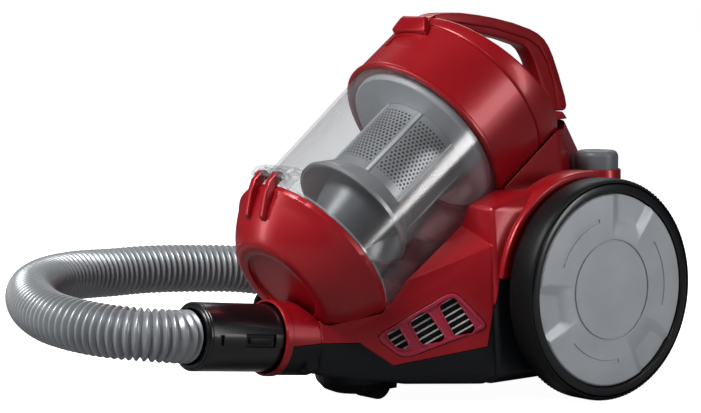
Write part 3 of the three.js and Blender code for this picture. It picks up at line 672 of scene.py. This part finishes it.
def round_uv(obj, radius):
    """UVs in metres: round the piece and along its axis, in the bin's own frame."""
    layer = obj.data.uv_layers.new(name="round")
    for polygon in obj.data.polygons:
        turns = []
        for loop in polygon.loop_indices:
            p = obj.data.vertices[obj.data.loops[loop].vertex_index].co
            turns.append((loop, math.atan2(p.y, p.x), p.z))
        low = min(t for _, t, _ in turns)
        for loop, turn, z in turns:
            if turn - low > math.pi:
                turn -= 2 * math.pi
            layer.data[loop].uv = (turn * radius / 1000, z / 1000)


def make_cup():
    tube = lathe([(CUP_TOP_R - 2.5, 0), (CUP_TOP_R, 0), (CUP_BOTTOM_R, CUP_BOTTOM),
                  (CUP_BOTTOM_R - 2.5, CUP_BOTTOM)], 160)
    bracket = hull([(x, y, CUP_BOTTOM + z) for x in (-18, 24) for y, z in
                    ((-85, 0.4), (-85, 9), (-80, 17), (-66, 24), (-60, 24), (-60, 0.4))], 1.4)
    hollow = hull([(x, y, CUP_BOTTOM + z) for x in (-15.5, 21.5) for y, z in
                   ((-82.5, -3), (-82.5, 9), (-78.5, 15), (-66, 21), (-60, 21), (-60, -3))])
    webs = [block(x - 1, x + 1, -82.5, -60, CUP_BOTTOM + 0.4, CUP_BOTTOM + 12) for x in (-4.2, 4.2, 15.5)]
    bracket = plus(minus(bracket, hollow), *webs)
    bracket = minus(bracket, rod(CUP_BOTTOM_R - 1.5, CUP_BOTTOM - 5, CUP_BOTTOM + 30, 128))
    cup = plus(tube, bracket)
    for x0, x1 in HOOKS:
        cup = minus(cup, block(x0 - 0.5, x1 + 0.5, -90, -73.3, CUP_BOTTOM - 5, CUP_BOTTOM + 10.5))
    cup = minus(cup, rod_x(PIN_HOLE_R, -30, 30, HINGE_Y, HINGE_Z), block(-21, 21, 50, 90, -76, -48))
    place(moved(cup, BIN), "cup", CLEAR, "dust_bin", ["bin_cup"])

    lip = ring(CUP_BOTTOM_R + 0.2, CUP_BOTTOM_R + 1.2, CUP_BOTTOM + 1, CUP_BOTTOM + 2.6, 160)
    lip = minus(lip, block(-30, 30, -90, -60, CUP_BOTTOM - 5, CUP_BOTTOM + 22),
                block(-12, 12, 60, 90, CUP_BOTTOM - 5, CUP_BOTTOM + 22))
    place(moved(lip, BIN), "cup_lip", CLEAR_RIB, "dust_bin")


def make_lid():
    profile = [(0, LID_FACE + 3), (33.5, LID_FACE + 3), (34.5, LID_FACE + 2.2), (35, LID_FACE + 0.6),
               (36, LID_FACE), (43.5, LID_FACE), (46.5, LID_FACE + 1), (49, LID_FACE + 3)]
    for t in (0.12, 0.25, 0.4, 0.55, 0.7, 0.85):
        profile.append((49 + 23.5 * t, LID_FACE + 3 + 31 * t - 3.2 * math.sin(math.pi * t)))
    profile += [(72.5, CUP_BOTTOM - 8), (74, CUP_BOTTOM - 6.6), (75, CUP_BOTTOM - 5), (75, CUP_BOTTOM - 1),
                (74.5, CUP_BOTTOM - GAP), (72, CUP_BOTTOM - GAP), (72.3, CUP_BOTTOM - 4.5),
                (69.6, CUP_BOTTOM - 9), (47, LID_FACE + 6.5), (0, LID_FACE + 6.5)]
    lid = lathe(profile, 160)
    for x0, x1 in HOOKS:
        rib = prism([(-83, HINGE_Z + 1), (-82.3, CUP_BOTTOM - 4), (-77, CUP_BOTTOM - 13),
                     (-64.5, CUP_BOTTOM - 27.5), (-57.5, CUP_BOTTOM - 27), (-68.5, CUP_BOTTOM - 11),
                     (-73.8, CUP_BOTTOM - 4), (-75, HINGE_Z)], x0, x1, 1.1)
        lid = plus(lid, rib, rod_x(4.2, x0, x1, HINGE_Y, HINGE_Z))
    lid = minus(lid, rod_x(PIN_HOLE_R, -30, 30, HINGE_Y, HINGE_Z))
    place(moved(lid, BIN), "lid_bowl", RED, "lid", ["bin_lid"])


def make_cyclone():
    tube = lathe([(39.5, -0.5), (SHROUD_R, -0.5), (SHROUD_R, -80), (46.5, -84.5), (54, -96), (54, -99.5),
                  (51.5, -99.5), (44.5, -87), (39.5, -82)], 128)
    round_uv(tube, SHROUD_R)
    place(moved(tube, BIN), "shroud", SHROUD, "dust_bin", ["cyclone_shroud"])
    cone = lathe([(34, -1), (36, -1), (36, -83), (35.2, -87), (21.4, -136.6), (20.8, -138),
                  (19.4, -138), (34, -84)], 128)
    place(moved(cone, BIN), "inner_cone", CONE_GREY, "dust_bin", ["cyclone_cone"])
    flange = lathe([(42.3, -7), (68, -7), (69.4, -6), (69.8, -0.8), (42.3, -0.8)], 128)
    place(moved(flange, BIN), "cyclone_flange", SILVER, "dust_bin")
    ribs = [block(41.8, 43.2, -1.6, 1.6, -80, -7.4, 0.4) for _ in range(RIBS)]
    for i, rib in enumerate(ribs):
        moved(rib, Matrix.Rotation(math.radians(360 / RIBS * i), 4, "Z"))
    place(moved(plus(*ribs), BIN), "shroud_ribs", SILVER, "dust_bin")


# ---- cap, handle, release clip ----
CROWN_Z, CROWN_SLOPE = 74.5, 0.14  # sloping top face, on the bin's axis
TAIL_Z, TAIL_TOP = 226.6, 233     # tail that rests on the body's spine
FOOT_Z = TAIL_TOP + GAP           # foot of the handle's leg


def crown_volume(grow):
    """Upper drum of the cap under its sloping top face, grown on every side."""
    drum = rod(CAP_R - 0.4 + grow, CAP_PARTING + GAP - grow, 120, 160)
    top = [(x, y, CROWN_Z + CROWN_SLOPE * y + grow) for x in (-120, 120) for y in (-120, 120)]
    slab = hull(top + [(x, y, 20) for x, y, _ in top])
    return both(drum, slab)


def make_cap():
    band = lathe([(77.2, -3.5), (80.0, -3.5), (81.2, -2.6), (81.2, -0.5), (80.2, 0.6), (CAP_R, 5),
                  (CAP_R, CAP_PARTING - 0.6), (CAP_R - 0.6, CAP_PARTING), (77, CAP_PARTING), (77, 3.6),
                  (30, 3.6), (30, 0.4), (77.2, 0.4)], 160)
    recess = both(ring(78.9, 90, 23, 37, 160), block(-18, 18, -95, -60, 20, 40))
    place(moved(minus(band, recess), BIN), "cap_band", RED, "dust_bin", ["cap_ring"])
    tail = hull([(44, 116, TAIL_Z), (31, 150, TAIL_Z), (16, 178, TAIL_Z), (0, 182, TAIL_Z),
                 (34, 100, TAIL_TOP), (26, 142, TAIL_TOP), (14, 174, TAIL_TOP), (0, 178, TAIL_TOP)],
                1.4, True)
    crown = plus(moved(bevel(crown_volume(0), 2.4, 4, 40), BIN), tail)
    crown = minus(crown, moved(rod(76.5, 40, 57), BIN))
    place(crown, "cap_top", RED, "dust_bin", ["cap_crown"])
    # (y, z) outlines. top runs from the band back to the foot; under, and the rail's own lower edge,
    # run from the foot forwards to the band.
    top = [(24, 312), (26, 315), (32, 317.6), (40, 319), (60, 319.3), (80, 317.3), (99, 314.5),
           (120, 310.3), (139.4, 304.8), (149, 300.8), (156, 296), (161.5, 289.6), (166.5, 281), (174, 264),
           (181, 246), (183, 238), (182, 234.5), (179, FOOT_Z)]
    under = [(161, FOOT_Z), (154, 252), (147, 269.7), (144.6, 276), (141, 281.8), (137, 287),
             (131, 291), (111, 296.4), (91.3, 300.2), (66.5, 304.6), (50, 303), (40, 296), (24, 296)]
    rail = [(171.5, FOOT_Z), (166, 260), (158.5, 277), (149, 289.2), (136, 296.2), (97.5, 305.6),
            (59, 310.3), (24, 309)]
    grip = plus(prism(top + under, -8.5, 8.5, 3.5, 4), prism(top + rail, -9.8, 9.8, 4, 5))
    room = moved(rod(CAP_R + GAP, -10, CAP_PARTING + GAP, 160), BIN)
    grip = minus(grip, moved(crown_volume(GAP), BIN), room)
    place(grip, "handle", DARK_RED, "dust_bin", ["carry_handle"])
    wedge = hull([(21, -83, 40), (21, -60, 40), (20, -84.5, 43), (15, -88, 49), (15, -88, 53), (15, -60, 53)],
                 1.2, True)
    clip = minus(wedge, rod(CAP_R + 0.5, 30, 60, 160))
    place(moved(clip, BIN), "release_clip", DARK_RED, "release", ["bin_release_clip"])


# ---- hose ----
# Routes in metres, from the cuff to the end collar and along the grip.
HOSE_ROUTE = [
    (0, -.2116, .0668), (0, -.230, .0686), (-.010, -.252, .071), (-.033, -.270, .073), (-.064, -.281, .076),
    (-.099, -.281, .079), (-.139, -.270, .084), (-.176, -.248, .089), (-.205, -.216, .092),
    (-.222, -.178, .093), (-.229, -.138, .092), (-.229, -.097, .092), (-.225, -.050, .090),
    (-.216, 0, .086), (-.204, .050, .075), (-.196, .100, .058), (-.191, .150, .039), (-.189, .200, .026),
    (-.188, .250, .0219), (-.188, .300, .0219), (-.190, .345, .0219), (-.203, .390, .0219),
    (-.235, .438, .0219), (-.285, .468, .0219), (-.340, .476, .0219), (-.395, .460, .0219),
    (-.440, .423, .0219), (-.464, .370, .0219), (-.466, .325, .0219),
]
GRIP_ROUTE = [(-.466, .287, .0219), (-.465, .262, .0219), (-.455, .232, .022), (-.436, .204, .023),
              (-.412, .178, .024), (-.386, .152, .025)]
COLLAR_AT, SLIDER_AT, SLIDER_TURN = (-466, 289.4, 21.9), (-430, 198, 41.2), math.radians(-42)


def along(route, step):
    """Points every step metres along a Catmull-Rom curve through the route, with their distances."""
    ends = [2 * Vector(route[0]) - Vector(route[1])] + [Vector(p) for p in route]
    ends.append(2 * ends[-1] - ends[-2])
    dense = []
    for i in range(1, len(ends) - 2):
        a, b, c, d = ends[i - 1:i + 3]
        for k in range(40):
            t = k / 40
            dense.append(0.5 * (2 * b + (c - a) * t + (2 * a - 5 * b + 4 * c - d) * t ** 2
                                + (3 * b - a - 3 * c + d) * t ** 3))
    dense.append(ends[-2])
    lengths = [0.0]
    for p, q in zip(dense, dense[1:]):
        lengths.append(lengths[-1] + (q - p).length)
    total = lengths[-1]
    count = max(2, round(total / step))
    result, j = [], 0
    for k in range(count + 1):
        s = total * k / count
        while j < len(lengths) - 2 and lengths[j + 1] < s:
            j += 1
        f = (s - lengths[j]) / max(1e-9, lengths[j + 1] - lengths[j])
        result.append((dense[j].lerp(dense[j + 1], f), s))
    return result, total


def sweep(route, step, radius, sides, inner=None):
    """Tube whose radius follows radius(distance); with inner it is hollow and open at both ends."""
    points, total = along(route, step)
    bm = bmesh.new()
    tangent = (points[1][0] - points[0][0]).normalized()
    side = tangent.orthogonal().normalized()
    outer_rings, inner_rings = [], []
    for k, (p, s) in enumerate(points):
        a = points[max(0, k - 1)][0]
        b = points[min(len(points) - 1, k + 1)][0]
        tangent = (b - a).normalized()
        side = (side - tangent * side.dot(tangent)).normalized()
        other = tangent.cross(side)
        circle = [side * math.cos(2 * math.pi * i / sides) + other * math.sin(2 * math.pi * i / sides)
                  for i in range(sides)]
        outer_rings.append([bm.verts.new(p + c * radius(s)) for c in circle])
        if inner:
            inner_rings.append([bm.verts.new(p + c * inner) for c in circle])

    def skin(rings):
        for low, high in zip(rings, rings[1:]):
            for i in range(sides):
                j = (i + 1) % sides
                bm.faces.new((low[i], low[j], high[j], high[i]))

    skin(outer_rings)
    if inner:
        skin([r[::-1] for r in inner_rings])
        for k in (0, -1):
            for i in range(sides):
                j = (i + 1) % sides
                bm.faces.new((outer_rings[k][i], outer_rings[k][j], inner_rings[k][j], inner_rings[k][i]))
    else:
        bm.faces.new(outer_rings[0])
        bm.faces.new(outer_rings[-1])
    bmesh.ops.recalc_face_normals(bm, faces=bm.faces)
    obj = from_bmesh(bm)
    obj.data.transform(Matrix.Scale(1000, 4))
    return obj, total


RIDGE, RIDGE_HEIGHT, GROOVE_R, HOSE_BORE_R = 0.0058, 0.0034, 0.0178, 0.0165


def ridged(s):
    """Radius of the corrugated wall at a distance along the hose."""
    phase = (s / RIDGE) % 1
    return GROOVE_R + RIDGE_HEIGHT * max(0.0, math.sin(math.pi * phase)) ** 1.3


def grip_radius(s):
    """The grip widens slightly where it enters the hose's end collar."""
    return 0.0175 + 0.0012 * math.exp(-(s / 0.012) ** 2)


def make_hose():
    hose, length = sweep(HOSE_ROUTE, RIDGE / 8, ridged, 40, HOSE_BORE_R)
    place(hose, "hose_corrugated", HOSE_GREY, "chassis", ["hose"], 60)
    grip, _ = sweep(GRIP_ROUTE, 0.003, grip_radius, 64, 0.015)
    place(grip, "grip_tube", BLACK, "chassis", ["hose_grip"])
    collar = lathe([(16, 0), (19.5, 0), (21.4, 1.8), (21.6, 4), (21.6, 30), (21.2, 32.6), (20, 34),
                    (16, 34)], 96)
    collar = moved(collar, Matrix.Translation(COLLAR_AT) @ AROUND_Y)
    place(collar, "grip_collar", GLOSS_BLACK, "chassis", ["hose_end_collar"])
    slider = moved(block(-7, 7, -10, 10, 0, 3, 0.8), Matrix.Translation(SLIDER_AT)
                   @ Matrix.Rotation(SLIDER_TURN, 4, "Z"))
    place(slider, "grip_slider", SILVER, "slider", ["suction_slider"])

    cuff = lathe([(22.5, -20), (27.2, -20), (27.4, -19.4), (27.4, 68.6), (27.0, 69), (27.0, 69.6), (27.4, 70),
                  (27.4, 71), (26.8, 71.6), (25.6, 71.6), (25.4, 72.4), (24.6, 73), (22.5, 73)], 128)
    for side in (-1, 1):
        cuff = minus(cuff, block(*sorted((21 * side, 30 * side)), -5.2, 5.2, 8.4, 37.7),
                     block(*sorted((25.4 * side, 30 * side)), -4.2, 4.2, 59, 62.4))
    place(moved(cuff, INLET), "cuff", GLOSS_BLACK, "cuff", ["hose_cuff"])
    for side, body, name in ((1, "cuff_latch_l", "left"), (-1, "cuff_latch_r", "right")):
        latch = plus(block(24.2, 25.6, -4.6, 4.6, 9.2, 36.9), block(24.2, 27.9, -2.6, 2.6, 12, 34, 1.2))
        if side < 0:
            moved(latch, MIRROR)
        place(moved(latch, INLET), f"cuff_latch_{name}", BLACK, body, [f"cuff_button_{name}"])


# ---- studio ----
LIGHT_TARGET = Vector((0, 0, 0.15))


def area_light(name, at, size, power):
    """Soft rectangular light aimed at the middle of the cleaner."""
    data = bpy.data.lights.new(name, "AREA")
    data.shape = "RECTANGLE"
    data.size, data.size_y = size
    data.energy = power
    light = bpy.data.objects.new(name, data)
    light.location = at
    light.rotation_euler = (LIGHT_TARGET - Vector(at)).to_track_quat("-Z", "Y").to_euler()
    bpy.context.scene.collection.objects.link(light)


def floor_material():
    """Pale matt floor that shows white and throws little light back up."""
    material = bpy.data.materials.new("floor_white")
    material.use_nodes = True
    tree = material.node_tree
    shader = tree.nodes["Principled BSDF"]
    shader.inputs["Roughness"].default_value = 0.8
    seen = tree.nodes.new("ShaderNodeLightPath").outputs["Is Camera Ray"]
    tone = tree.nodes.new("ShaderNodeMixRGB")
    link(tree, seen, tone.inputs["Fac"])
    tone.inputs["Color1"].default_value = (0.24, 0.24, 0.245, 1)
    tone.inputs["Color2"].default_value = (0.85, 0.85, 0.85, 1)
    link(tree, tone.outputs[0], shader.inputs["Base Color"])
    link(tree, math_node(tree, "MULTIPLY", seen, 0.97), shader.inputs["Emission Strength"])
    shader.inputs["Emission Color"].default_value = (1, 1, 1, 1)
    return material


def make_studio():
    bm = bmesh.new()
    for x, y in ((-12, -12), (12, -12), (12, 12), (-12, 12)):
        bm.verts.new((x, y, 0))
    bm.faces.new(bm.verts)
    floor = from_bmesh(bm, "floor")
    floor.data.materials.append(floor_material())
    world = bpy.data.worlds.new("studio")
    bpy.context.scene.world = world
    world.use_nodes = True
    tree = world.node_tree
    seen = tree.nodes.new("ShaderNodeLightPath").outputs["Is Camera Ray"]
    tone = tree.nodes.new("ShaderNodeMixRGB")
    link(tree, seen, tone.inputs["Fac"])
    tone.inputs["Color1"].default_value = (0.055, 0.058, 0.064, 1)
    tone.inputs["Color2"].default_value = (1, 1, 1, 1)
    link(tree, tone.outputs[0], tree.nodes["Background"].inputs["Color"])
    bpy.context.scene.view_settings.view_transform = "Standard"
    area_light("key", (0.0, -1.4, 1.7), (0.8, 0.6), 46)
    area_light("strip", (1.7, 0.9, 0.72), (0.34, 1.1), 9.5)
    area_light("left", (-1.0, -1.5, 0.55), (0.3, 0.9), 6)
    area_light("front", (1.9, -1.3, 1.5), (0.5, 0.4), 3)
    area_light("back", (-1.1, 1.0, 1.4), (1.2, 0.6), 8)


# ---- pieces shown in the frame's own shapes ----
CARRIED = {
    "inlet_duct": BLACK, "exhaust_filter_left": FOAM, "exhaust_filter_right": FOAM, "power_switch": BLACK,
    "reel_brake_lever": BLACK, "axle_left": STEEL, "axle_right": STEEL, "axle_clip_left": STEEL,
    "axle_clip_right": STEEL, "caster_fork": BLACK, "caster_stem": STEEL, "caster_wheel": RUBBER,
    "caster_pin": STEEL, "motor_housing": GREY, "motor": STEEL, "motor_shaft": STEEL, "fan_impeller": SILVER,
    "cord_reel": BLACK, "cord_reel_pin": STEEL, "cord_outlet": BLACK, "lid_hinge_pin": STEEL,
    "lid_catch": DARK_RED, "lid_seal": RUBBER, "vortex_tube": BLACK, "fine_filter": FOAM,
}


make_camera()
make_hose()
make_body()
make_vents()
make_wheels()
make_buttons()
make_cup()
make_lid()
make_cyclone()
make_cap()
make_studio()
for node, material in CARRIED.items():
    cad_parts[node].data.materials.clear()
    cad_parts[node].data.materials.append(material)
